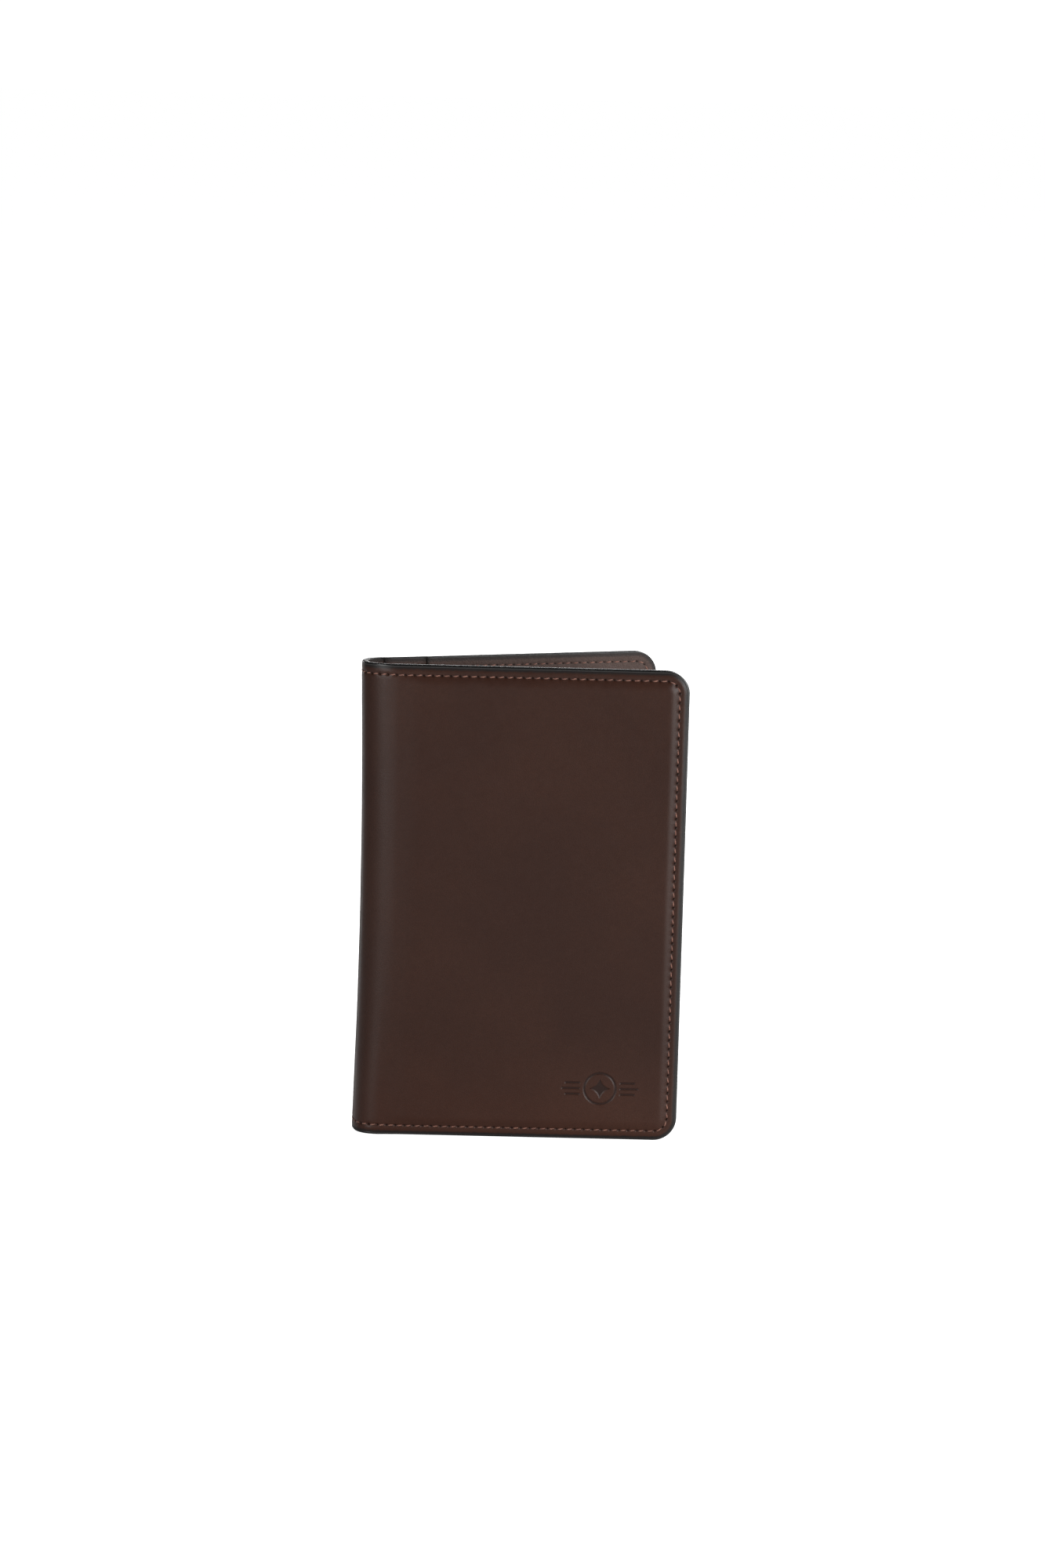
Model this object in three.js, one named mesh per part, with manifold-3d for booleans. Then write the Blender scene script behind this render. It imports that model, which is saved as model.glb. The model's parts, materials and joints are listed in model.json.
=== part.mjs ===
// Bifold leather passport holder, standing half open on its lower edges like a book.
// Millimetres, +Z up. The spine is at -X and the covers open towards +X; the front cover is at -Y.
// The outer leather and the lining are each one sheet on the real holder. Here each is cut at the
// two fold lines, so that the front cover and the back cover can turn about the spine.

import * as THREE from 'three';
import { mergeVertices } from 'three/addons/utils/BufferGeometryUtils.js';
import Module from 'manifold-3d';

const wasm = await Module();
wasm.setup();

// Driving dimensions of the holder.
const HEIGHT = 140;
const COVER_LENGTH = 94.2; // along an outer face, from the sharp corner with the spine to the fore-edge
const SPINE_WIDTH = 14.5; // between the sharp corners of the two outer faces
const HALF_OPENING = THREE.MathUtils.degToRad(10.7);
const CORNER_RADIUS = 6.8;
const FOLD_RADIUS = 1.45; // the rolled leather at each fold, and how far its axis lies below the outer faces

// Thickness of each layer, and the clearance between two layers.
const LEATHER = 0.9;
const FOAM = 0.6;
const BOARD = 0.6;
const LINING = 0.5;
const POCKET = 0.5;
const STIFFENER = 0.5;
const GAP = 0.25;

// Where things start, measured along a cover from its fold axis.
const LINING_START = 3;
const PADDING_START = 8;
const WIDE_POCKET_START = 6;
const SLEEVE_START = 19;
const CARD_POCKET_START = 9;
const CARD_MOUTHS = { upper: 80, middle: 64, lower: 48 }; // heights of the three card pockets' mouths

// Padding and stitching.
const PADDING_INSET = 6;
const PADDING_CORNER_RADIUS = 4;
const SEAM_INSET = 3;
const THREAD = 0.4;
const THREAD_PROUD = 0.15;
const GROOVE_DEPTH = THREAD - THREAD_PROUD + GAP;
const SEAM_START = 2;
const CARD_SEAM_INSET = 2.5;
const CUT_MARGIN = 1; // how far a cutter stands outside the face that it cuts
const CORNER_SEGMENTS = 8;
const ROLL_SEGMENTS = 24;

// Worked out from the dimensions above.
const cos = Math.cos(HALF_OPENING);
const sin = Math.sin(HALF_OPENING);
const foldFoot = FOLD_RADIUS * Math.tan((Math.PI / 2 - HALF_OPENING) / 2);
const foldHalfSpacing = SPINE_WIDTH / 2 - foldFoot;
const reach = COVER_LENGTH - foldFoot; // from a fold axis to the fore-edge
const foamDepth = LEATHER + GAP;
const boardDepth = foamDepth + FOAM + GAP;
const liningDepth = boardDepth + BOARD + GAP;
const pocketPitch = POCKET + GAP;
const firstPocketDepth = liningDepth + LINING + GAP;
const frontPocketLayers = 4;
const frontStack = firstPocketDepth + frontPocketLayers * pocketPitch - GAP;
const foldToForeEdge = reach * cos + (frontStack - FOLD_RADIUS) * sin;
const overallLength = THREAD_PROUD + FOLD_RADIUS + foldToForeEdge;
const spineFaceX = THREAD_PROUD - overallLength / 2;
const foldX = spineFaceX + FOLD_RADIUS;
const spineStripWidth = 2 * (foldHalfSpacing - FOLD_RADIUS - GAP);

const finish = (color, roughness) => new THREE.MeshStandardMaterial({ color, roughness, metalness: 0 });
const OUTER_LEATHER = finish(0x3e2c27, 0.55);
const LINING_LEATHER = finish(0x4c3a34, 0.65);
const POCKET_LEATHER = finish(0x54423b, 0.65);
const SEAM_THREAD = finish(0x96695a, 0.7);
const GREY_BOARD = finish(0x8f8a82, 0.9);
const WHITE_FOAM = finish(0xd9d6cf, 0.95);

const FRONT = -1; // the side of the holder's middle plane that a cover lies on
const BACK = 1;

function toSolid(geometry) {
  const bare = geometry.clone();
  bare.deleteAttribute('normal');
  bare.deleteAttribute('uv');
  const merged = mergeVertices(bare);
  return new wasm.Manifold(new wasm.Mesh({
    numProp: 3,
    vertProperties: new Float32Array(merged.attributes.position.array),
    triVerts: new Uint32Array(merged.index.array),
  }));
}

function toGeometry(solid) {
  const mesh = solid.getMesh();
  const geometry = new THREE.BufferGeometry();
  geometry.setAttribute('position', new THREE.BufferAttribute(mesh.vertProperties, 3));
  geometry.setIndex(new THREE.BufferAttribute(mesh.triVerts, 1));
  geometry.computeVertexNormals();
  return geometry;
}

function named(name, geometry, material) {
  const mesh = new THREE.Mesh(geometry, material);
  mesh.name = name;
  return mesh;
}

// A box between two corners.
function box(low, high) {
  const size = high.map((value, axis) => value - low[axis]);
  const centre = high.map((value, axis) => (value + low[axis]) / 2);
  return new THREE.BoxGeometry(...size).translate(...centre);
}

// A flat sheet of a cover, cut to a shape whose x runs along the cover and whose y is height.
// Depth is measured inwards from the cover's outer face.
function sheet(side, shape, depth, thickness) {
  const options = { depth: thickness, bevelEnabled: false, curveSegments: CORNER_SEGMENTS };
  const geometry = new THREE.ExtrudeGeometry(shape, options).rotateX(Math.PI / 2);
  const highestY = side === FRONT ? depth + thickness - FOLD_RADIUS : FOLD_RADIUS - depth;
  return geometry.translate(0, highestY, 0);
}

// A panel sewn into the perimeter seam, round at both fore-edge corners.
function fullPanelShape(start) {
  const corner = reach - CORNER_RADIUS;
  const shape = new THREE.Shape();
  shape.moveTo(start, 0);
  shape.lineTo(corner, 0);
  shape.absarc(corner, CORNER_RADIUS, CORNER_RADIUS, -Math.PI / 2, 0);
  shape.absarc(corner, HEIGHT - CORNER_RADIUS, CORNER_RADIUS, 0, Math.PI / 2);
  shape.lineTo(start, HEIGHT);
  return shape;
}

// A card pocket: only its lower fore-edge corner is round, and its straight upper edge is the mouth.
function cardPanelShape(mouth) {
  const corner = reach - CORNER_RADIUS;
  const shape = new THREE.Shape();
  shape.moveTo(CARD_POCKET_START, 0);
  shape.lineTo(corner, 0);
  shape.absarc(corner, CORNER_RADIUS, CORNER_RADIUS, -Math.PI / 2, 0);
  shape.lineTo(reach, mouth);
  shape.lineTo(CARD_POCKET_START, mouth);
  return shape;
}

// The foam stops short of the seam and of the fold, with a small radius at all four corners.
function paddingShape() {
  const [left, right] = [PADDING_START, reach - PADDING_INSET];
  const [bottom, top] = [PADDING_INSET, HEIGHT - PADDING_INSET];
  const r = PADDING_CORNER_RADIUS;
  const shape = new THREE.Shape();
  shape.absarc(right - r, bottom + r, r, -Math.PI / 2, 0);
  shape.absarc(right - r, top - r, r, 0, Math.PI / 2);
  shape.absarc(left + r, top - r, r, Math.PI / 2, Math.PI);
  shape.absarc(left + r, bottom + r, r, Math.PI, Math.PI * 3 / 2);
  return shape;
}

// A strip of the given width along the perimeter seam: bottom, fore-edge and top.
function seamShape(width) {
  const outer = SEAM_INSET - width / 2;
  const inner = SEAM_INSET + width / 2;
  const corner = reach - CORNER_RADIUS;
  const topCorner = HEIGHT - CORNER_RADIUS;
  const shape = new THREE.Shape();
  shape.moveTo(SEAM_START, outer);
  shape.lineTo(corner, outer);
  shape.absarc(corner, CORNER_RADIUS, CORNER_RADIUS - outer, -Math.PI / 2, 0);
  shape.absarc(corner, topCorner, CORNER_RADIUS - outer, 0, Math.PI / 2);
  shape.lineTo(SEAM_START, HEIGHT - outer);
  shape.lineTo(SEAM_START, HEIGHT - inner);
  shape.absarc(corner, topCorner, CORNER_RADIUS - inner, Math.PI / 2, 0, true);
  shape.absarc(corner, CORNER_RADIUS, CORNER_RADIUS - inner, 0, -Math.PI / 2, true);
  shape.lineTo(SEAM_START, inner);
  return shape;
}

// Looking down on a cover's outer leather: a flat sheet that ends in a roll round the fold axis.
function leatherProfile(side) {
  const innerFace = FOLD_RADIUS - LEATHER;
  const start = Math.PI / 2;
  const end = 2 * Math.PI + Math.asin(innerFace / FOLD_RADIUS);
  const shape = new THREE.Shape();
  shape.moveTo(reach, side * FOLD_RADIUS);
  shape.lineTo(0, side * FOLD_RADIUS);
  shape.absarc(0, 0, FOLD_RADIUS, side * start, side * end, side === FRONT);
  shape.lineTo(reach, side * innerFace);
  return shape;
}

// The outer leather of a cover, round at its fore-edge corners and grooved for the seam thread.
function coverLeather(side) {
  const options = { depth: HEIGHT, bevelEnabled: false, curveSegments: ROLL_SEGMENTS };
  const rolled = toSolid(new THREE.ExtrudeGeometry(leatherProfile(side), options));
  const outlineStart = -FOLD_RADIUS - CUT_MARGIN;
  const outlineThickness = 2 * (FOLD_RADIUS + CUT_MARGIN);
  const outline = toSolid(sheet(side, fullPanelShape(outlineStart), -CUT_MARGIN, outlineThickness));
  const groove = sheet(side, seamShape(THREAD + 2 * GAP), -CUT_MARGIN, CUT_MARGIN + GROOVE_DEPTH);
  return toGeometry(rolled.intersect(outline).subtract(toSolid(groove)));
}

// The parts that every cover has.
function cover(side, name) {
  const group = new THREE.Group();
  group.position.set(foldX, side * foldHalfSpacing, 0);
  group.rotation.z = side * HALF_OPENING;
  const pad = sheet(side, paddingShape(), foamDepth, FOAM);
  const board = sheet(side, fullPanelShape(PADDING_START), boardDepth, BOARD);
  const lining = sheet(side, fullPanelShape(LINING_START), liningDepth, LINING);
  const thread = sheet(side, seamShape(THREAD), -THREAD_PROUD, THREAD);
  group.add(
    named(`${name}_cover_leather`, coverLeather(side), OUTER_LEATHER),
    named(`${name}_foam_pad`, pad, WHITE_FOAM),
    named(`${name}_stiffener_board`, board, GREY_BOARD),
    named(`${name}_lining`, lining, LINING_LEATHER),
    named(`${name}_seam_thread`, thread, SEAM_THREAD),
  );
  return group;
}

// A full-height pocket panel, open at its edge towards the spine.
function pocket(side, name, start, layer) {
  const depth = firstPocketDepth + layer * pocketPitch;
  return named(name, sheet(side, fullPanelShape(start), depth, POCKET), POCKET_LEATHER);
}

// One of the three stepped card pockets on the front cover's slip pocket.
function cardPocket(step, layer) {
  const depth = firstPocketDepth + layer * pocketPitch;
  const panel = sheet(FRONT, cardPanelShape(CARD_MOUTHS[step]), depth, POCKET);
  return named(`front_card_pocket_${step}`, panel, POCKET_LEATHER);
}

// The thread that closes the card pockets towards the spine. It steps down at each pocket's mouth.
function cardSeamThread() {
  const left = CARD_POCKET_START + CARD_SEAM_INSET;
  const right = left + THREAD;
  const surface = frontStack + GAP - FOLD_RADIUS;
  const mouths = [CARD_MOUTHS.lower, CARD_MOUTHS.middle, CARD_MOUTHS.upper];
  let thread = null;
  let bottom = SEAM_INSET + THREAD;
  mouths.forEach((mouth, step) => {
    const low = surface - step * pocketPitch;
    const turn = mouth + GAP;
    const run = toSolid(box([left, low, bottom], [right, low + THREAD, turn + THREAD]));
    const drop = toSolid(box([left, low - pocketPitch, turn], [right, low + THREAD, turn + THREAD]));
    thread = thread ? thread.add(run).add(drop) : run.add(drop);
    bottom = turn;
  });
  return named('card_pocket_seam_thread', toGeometry(thread), SEAM_THREAD);
}

// A flat strip of the spine between the two folds. Depth is measured inwards from its outer face.
function spineStrip(depth, thickness, cutter = null) {
  const low = [spineFaceX + depth, -spineStripWidth / 2, 0];
  const high = [spineFaceX + depth + thickness, spineStripWidth / 2, HEIGHT];
  const strip = box(low, high);
  return cutter ? toGeometry(toSolid(strip).subtract(cutter)) : strip;
}

// The cutter for the thread's groove across the spine.
function spineGroove(height) {
  const width = THREAD + 2 * GAP;
  const low = [spineFaceX - CUT_MARGIN, -spineStripWidth, height - width / 2];
  const high = [spineFaceX + GROOVE_DEPTH, spineStripWidth, height + width / 2];
  return box(low, high);
}

function spineThread(height) {
  const low = [spineFaceX - THREAD_PROUD, -spineStripWidth / 2, height - THREAD / 2];
  const high = [spineFaceX - THREAD_PROUD + THREAD, spineStripWidth / 2, height + THREAD / 2];
  return box(low, high);
}

function spine() {
  const seams = [SEAM_INSET, HEIGHT - SEAM_INSET];
  const grooves = seams
    .map((height) => toSolid(spineGroove(height)))
    .reduce((all, groove) => all.add(groove));
  const stiffenerDepth = LEATHER + GAP;
  const group = new THREE.Group();
  group.add(
    named('spine_leather', spineStrip(0, LEATHER, grooves), OUTER_LEATHER),
    named('spine_stiffener', spineStrip(stiffenerDepth, STIFFENER), GREY_BOARD),
    named('spine_lining', spineStrip(stiffenerDepth + STIFFENER + GAP, LINING), LINING_LEATHER),
    named('spine_bottom_seam_thread', spineThread(seams[0]), SEAM_THREAD),
    named('spine_top_seam_thread', spineThread(seams[1]), SEAM_THREAD),
  );
  return group;
}

const frontCover = cover(FRONT, 'front');
frontCover.add(
  pocket(FRONT, 'front_slip_pocket', WIDE_POCKET_START, 0),
  cardPocket('upper', 1),
  cardPocket('middle', 2),
  cardPocket('lower', 3),
  cardSeamThread(),
);

const backCover = cover(BACK, 'back');
backCover.add(
  pocket(BACK, 'back_document_pocket', WIDE_POCKET_START, 0),
  pocket(BACK, 'back_passport_sleeve', SLEEVE_START, 1),
);

const holder = new THREE.Group();
holder.add(spine(), frontCover, backCover);

export default holder;
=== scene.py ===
"""Looks of the bifold leather passport holder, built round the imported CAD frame.

Shapes are worked out in millimetres on the unrolled leather: s runs from the middle of the spine
towards a fore-edge, z is height, and depth is measured inwards from the outer face. u is the distance
from the fold axis along the cover. Each half of the holder is its own set of pieces, which bend from
the spine into one cover.
"""

import json
import math

import bmesh
import bpy
import numpy as np
from mathutils import Matrix, Vector


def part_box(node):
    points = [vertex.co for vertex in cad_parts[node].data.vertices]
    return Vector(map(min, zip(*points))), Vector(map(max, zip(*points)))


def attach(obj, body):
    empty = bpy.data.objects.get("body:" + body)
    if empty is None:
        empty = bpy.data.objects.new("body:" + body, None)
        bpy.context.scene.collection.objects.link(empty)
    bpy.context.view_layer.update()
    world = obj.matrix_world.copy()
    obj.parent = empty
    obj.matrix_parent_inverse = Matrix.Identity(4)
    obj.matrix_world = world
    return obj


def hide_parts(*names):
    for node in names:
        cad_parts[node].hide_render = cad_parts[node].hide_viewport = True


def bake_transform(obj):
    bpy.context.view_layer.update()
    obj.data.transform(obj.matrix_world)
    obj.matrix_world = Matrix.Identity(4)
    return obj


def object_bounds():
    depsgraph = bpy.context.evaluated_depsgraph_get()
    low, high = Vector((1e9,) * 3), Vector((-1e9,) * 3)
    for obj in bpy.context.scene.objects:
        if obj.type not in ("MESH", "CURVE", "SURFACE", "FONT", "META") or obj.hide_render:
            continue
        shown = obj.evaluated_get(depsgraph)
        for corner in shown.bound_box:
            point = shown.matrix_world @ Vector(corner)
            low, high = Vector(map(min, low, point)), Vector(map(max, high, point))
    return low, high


MM = 0.001

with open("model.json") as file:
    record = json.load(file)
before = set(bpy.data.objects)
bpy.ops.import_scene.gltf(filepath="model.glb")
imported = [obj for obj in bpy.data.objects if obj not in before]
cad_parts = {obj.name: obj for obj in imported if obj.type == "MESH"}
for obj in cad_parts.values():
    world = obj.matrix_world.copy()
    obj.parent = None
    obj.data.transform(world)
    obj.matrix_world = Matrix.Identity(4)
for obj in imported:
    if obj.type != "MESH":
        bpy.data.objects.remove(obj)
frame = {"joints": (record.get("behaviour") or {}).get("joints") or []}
cad_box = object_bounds()
joints = {j["name"]: j for j in frame["joints"]}

# Dimensions that the frame gives.
HEIGHT = (cad_box[1].z - cad_box[0].z) / MM
HALF_OPENING = math.radians(-joints["front_fold"]["range_deg"][0])
SPINE_FACE_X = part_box("spine_leather")[0].x / MM
FOLD_X = joints["front_fold"]["pos_m"][0] / MM
FOLD_HALF_SPACING = -joints["front_fold"]["pos_m"][1] / MM
FOLD_DEPTH = FOLD_X - SPINE_FACE_X
CAD_LEATHER = (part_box("spine_leather")[1].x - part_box("spine_leather")[0].x) / MM
COS, SIN = math.cos(HALF_OPENING), math.sin(HALF_OPENING)
FOLD_FOOT = FOLD_DEPTH * math.tan((math.pi / 2 - HALF_OPENING) / 2)
SPINE_HALF = FOLD_HALF_SPACING + FOLD_FOOT
FORE_EDGE_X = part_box("front_cover_leather")[1].x / MM
REACH = (FORE_EDGE_X - FOLD_X + (FOLD_DEPTH - CAD_LEATHER) * SIN) / COS

# The sewn stack. Lengths are in mm from here on.
CORNER_RADIUS = 6.8
LEATHER = 1.0
LINING = 0.6
PANEL = 0.55
PANEL_PITCH = 0.6
BOARD_THICKNESS = 0.5
GLUE = 0.05
FOAM_RIM = 0.04  # the foam's thickness where it has tapered away, and its gap to the leather
SPINE_STACK = 1.75
COVER_STACK = 2.4
COVER_STACK_U = 4.5  # the stack thickens from here on
COVER_STACK_RUN = 4
BOARD_U = 8.5
FOAM_U = 9.0

# The outer face: a soft crown, and leather that is skived down towards its painted edge.
CROWN = 0.85
CROWN_START = 2.3
CROWN_RUN = 3.4
CROWN_U = 5
CROWN_U_RUN = 11
SPINE_EDGE_FALL = 0.12
COVER_EDGE_FALL = 0.38  # this much more than on the spine
EDGE_FALL_RUN = 9  # it grows over this much of the cover
EDGE_FALL_START = 0.1
EDGE_FALL_WIDTH = 2.0
WAIST = 1.08  # the spine bows in by this much at mid height
WAIST_START = 4
WAIST_RUN = 14
RIPPLE_START = 8

# The front bend is tighter at the foot.
FOOT_BEND_HEIGHT = -15.0  # the bend changes from its foot shape here
BEND_CHANGE = 80.0  # to its top shape this much higher
FOOT_SLACK_RUN = 14.0  # the foot's longer way round the bend is made up within this much of the spine

# The perimeter seam.
SEAM_INSET = 3.0
STITCH_PITCH = 2.65
STITCH_GAP = 0.14  # share of the pitch between a stitch's end and the hole
STITCH_SLANT = 0.3
THREAD_RADIUS = 0.19
THREAD_TURNS = 1.25  # of its plies in one stitch
THREAD_SUNK = 0.36  # how deep a stitch's ends go
THREAD_RISE = 0.47
OUTER_SEAT = 0.10  # how far the stitches' seat lies under the unsewn face
INNER_SEAT = 0.08
CARD_SEAT = 0.06
HOLE_RADIUS = 0.24
HOLE_STRETCH = 1.25
HOLE_DEPTH = 0.50
VALLEY_DEPTH = 0.15
VALLEY_WIDTH = 0.62

# The pocket panels.
WIDE_POCKET_U = 6.0
SLEEVE_U = 19.0
CARD_POCKET_U = 9.0
CARD_STAGGER = 0.7  # each card panel starts a little further in than the one below it
CARD_SEAM_U = 11.5
CARD_SEAM_FROM_SEAM = 0.4
CARD_SEAM_FROM_MOUTH = 0.8
CARD_MOUTHS = (80.0, 64.0, 48.0)
CARD_STARTS = [CARD_POCKET_U + k * CARD_STAGGER for k in range(len(CARD_MOUTHS))]
FREE_EDGE_LIFT = 0.16
FREE_EDGE_LIFT_WIDTH = 3.0
FREE_EDGE_LIFT_INSET = 25
EDGE_ROUNDING = 0.10
EDGE_ROUNDING_WIDTH = 0.25
EDGE_BAND = 1.2  # this much of the panel next to a free edge has a fine mesh
EDGE_BAND_STEP = 0.25
START_PAINT_WIDTH = 0.6
MOUTH_PAINT_WIDTH = 0.4
LINING_VALLEY_DEPTH = 0.05
PANEL_VALLEY_DEPTH = 0.10
PANEL_HOLE_DEPTH = 0.22

# The pressed emblem.
EMBLEM_FROM_FORE_EDGE = 23.0
EMBLEM_HEIGHT = 15.6
EMBLEM_HALF_WIDTH = 11.6
EMBLEM_HALF_HEIGHT = 5.4
EMBLEM_DEPTH = 0.2
EMBLEM_GRID = 0.15

# The painted edge.
BEAD_HEIGHT = 0.32
BEAD_PROUD = 0.02
BEAD_STEPS = 15
BEAD_SQUARENESS = 0.7  # below 1, the bead is flatter than round
OUTER_LAP = ((0.8, 0.06), (0.68, -0.01), (0.5, -0.03))  # each (inset, depth from the face)
INNER_LAP = ((0.42, 0.01), (0.5, 0.0), (0.56, -0.05))

FRONT, BACK = -1, 1
NAMES = {FRONT: "front", BACK: "back"}
RUBBED_INNER_EDGE = {FRONT: 0.0, BACK: 1.0}  # how matt handling has made the paint's inner side

# The narrow board in the spine.
SPINE_BOARD_GAP = 0.4  # to the start of the front bend
SPINE_BOARD_INSET = 0.6
SPINE_BOARD_STEP = 2.0
SPINE_BOARD_DEPTH = 0.06  # behind the leather
SPINE_BOARD_THICKNESS = 0.35

# How closely a face is meshed: the insets of its rings along the seam and the step along them, then
# the insets of the coarser rings inside them and the step along those and in the grid they surround.
SEAM_RINGS = (0.3, 0.55, 0.8, 1.1, 1.5, 1.9, 2.25, 2.5, 2.7, 2.85, 3.0, 3.15, 3.3, 3.5, 3.75, 4.1, 4.6, 5.2)
SEWN_FACE = (SEAM_RINGS, 0.28, (5.8, 6.5, 7.3, 8.3, 9.5), 1.1)
PLAIN_FACE = ((0.3, 0.95), 1.0, (2.5, 5.0), 2.0)
HIDDEN_FACE = ((0.3, 0.95), 1.0, (3.0, 6.5), 2.0)
OUTER_BEND_BAND = (0.0, 24.0, 0.7)
LINING_BEND_BAND = (0.0, 24.0, 0.8)
BEAD_STEP = 0.7
SMALLEST_CORNER = 1.6
FEWEST_ARC_STEPS = 6


def smooth(t):
    """0 below 0, 1 above 1, and a smooth rise between them."""
    t = np.clip(t, 0, 1)
    return t * t * (3 - 2 * t)


def bump(distance, width):
    """1 at no distance, falling smoothly to nearly 0 at twice the width."""
    return np.exp(-((distance / width) ** 2))


class Bend:
    """The outer face's line as seen from above, from the middle of the spine to the fore-edge."""

    def __init__(self, cover_run, spine_run, spine_fullness, cover_fullness):
        """The bend takes up cover_run of the cover and spine_run of the spine."""
        corner = np.array([0.0, SPINE_HALF])
        along = np.array([COS, SIN])
        start, end = corner - [0, spine_run], corner + cover_run * along
        handles = start + (corner - start) * spine_fullness, end + (corner - end) * cover_fullness
        t = np.linspace(0, 1, 241)[:, None]
        curve = (
            (1 - t) ** 3 * start
            + 3 * (1 - t) ** 2 * t * handles[0]
            + 3 * (1 - t) * t * t * handles[1]
            + t**3 * end
        )
        fore_edge = corner + (REACH + FOLD_FOOT) * along
        self.line = np.vstack([[0.0, 0.0], curve, fore_edge])
        step = np.diff(self.line, axis=0)
        self.s = np.concatenate([[0], np.cumsum(np.hypot(*step.T))])
        self.length = self.s[-1]
        tangent = np.vstack([[0, 1], (step[:-1] + step[1:]) / 2, along])
        tangent /= np.linalg.norm(tangent, axis=1)[:, None]
        self.inward = np.stack([tangent[:, 1], -tangent[:, 0]], axis=1)
        self.spine_run = spine_run

    def at(self, s):
        """Places on the line and directions into the leather."""
        values = np.hstack([self.line, self.inward])
        return np.stack([np.interp(s, self.s, column) for column in values.T])


class Half:
    """One half of the holder: its side, and its bend at the top and at the foot."""

    def __init__(self, side, top_bend, foot_bend):
        self.side = side
        self.top_bend, self.foot_bend = top_bend, foot_bend
        self.length = top_bend.length
        self.spine_run = top_bend.spine_run
        self.name = NAMES[side]

    def s_at(self, u):
        """s of a place on the cover that is u from the fold axis."""
        return self.length - (REACH - u)

    def u_at(self, s):
        """Distance of s from the fold axis, along the cover."""
        return REACH - (self.length - s)

    def place(self, s, z, depth):
        """World positions, in metres."""
        high = smooth((z - FOOT_BEND_HEIGHT) / BEND_CHANGE)
        longer = self.foot_bend.length - self.length
        foot_s = s + longer * smooth(s / FOOT_SLACK_RUN)
        x, t, nx, nt = high * self.top_bend.at(s) + (1 - high) * self.foot_bend.at(foot_s)
        scale = 1 / np.hypot(nx, nt)
        waist = WAIST * np.sin(np.pi * np.clip(z / HEIGHT, 0, 1))
        waist = waist * (1 - smooth((s - WAIST_START) / WAIST_RUN))
        x = SPINE_FACE_X + x + depth * nx * scale + waist
        t = t + depth * nt * scale
        return np.stack([x, self.side * t, z], axis=-1) * MM

    def inset(self, s, z):
        """Distance to the sewn perimeter: top, fore-edge and bottom."""
        across, up = self.length - s, np.minimum(z, HEIGHT - z)
        corner = np.hypot(CORNER_RADIUS - across, CORNER_RADIUS - up)
        round_part = CORNER_RADIUS - corner
        in_corner = (across < CORNER_RADIUS) & (up < CORNER_RADIUS)
        return np.where(in_corner, round_part, np.minimum(across, up))


back_bend = Bend(6.5, 5.6, spine_fullness=0.58, cover_fullness=0.58)
front = Half(
    FRONT,
    Bend(9.8, 6.2, spine_fullness=0.62, cover_fullness=0.46),
    Bend(7.0, 6.0, spine_fullness=0.6, cover_fullness=0.68),
)
back = Half(BACK, back_bend, back_bend)


# ---------------------------------------------------------------- the seam line


class Seam:
    """The stitch line of one half, from the middle of the spine round the cover and back."""

    def __init__(self, half):
        self.half = half
        self.radius = CORNER_RADIUS - SEAM_INSET
        self.flat = half.length - CORNER_RADIUS
        self.arc = self.radius * math.pi / 2
        self.side = HEIGHT - 2 * CORNER_RADIUS
        self.length = 2 * self.flat + 2 * self.arc + self.side
        self.count = round(self.length / STITCH_PITCH)
        self.pitch = self.length / self.count

    def locate(self, s, z):
        """How far along the seam a point lies. Its distance across is inset() - SEAM_INSET."""
        low = z < HEIGHT / 2
        up = np.where(low, HEIGHT - z, z) - (HEIGHT - CORNER_RADIUS)
        out = s - self.flat
        angle = np.arctan2(np.maximum(out, 0), np.maximum(up, 1e-9))
        on_corner = self.flat + self.radius * angle
        on_side = self.flat + self.arc - np.minimum(up, 0)
        beside = np.where(up > out, s, on_side)
        beyond = np.where(up > 0, on_corner, on_side)
        upper = np.where(out <= 0, beside, beyond)
        return np.where(low, self.length - upper, upper)

    def point(self, p, inset):
        """(s, z) of a point at p along the seam, inset from the perimeter."""
        p, inset = np.broadcast_arrays(np.asarray(p, float), inset)
        low = p > self.length / 2
        q = np.where(low, self.length - p, p)
        r = CORNER_RADIUS - inset
        angle = np.clip((q - self.flat) / self.radius, 0, math.pi / 2)
        s = np.where(q < self.flat, q, self.flat + r * np.sin(angle))
        up = HEIGHT - CORNER_RADIUS + r * np.cos(angle)
        on_side = HEIGHT - CORNER_RADIUS - (q - self.flat - self.arc)
        up = np.where(q > self.flat + self.arc, on_side, up)
        return s, np.where(low, HEIGHT - up, up)

    def holes(self, s, z):
        """1 in the middle of a needle hole, falling to 0 round it."""
        p = self.locate(s, z)
        along = p - np.round(p / self.pitch) * self.pitch
        across = self.half.inset(s, z) - SEAM_INSET
        return bump(np.hypot(along / HOLE_STRETCH, across), HOLE_RADIUS)

    def pull(self, s, z):
        """How far the thread pulls the leather down along the stitch line: most at the holes."""
        tight = 0.7 + 0.3 * np.cos(2 * np.pi * self.locate(s, z) / self.pitch)
        return tight * bump(self.half.inset(s, z) - SEAM_INSET, VALLEY_WIDTH)


seams = {FRONT: Seam(front), BACK: Seam(back)}


# ---------------------------------------------------------------- depths of the faces


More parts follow.
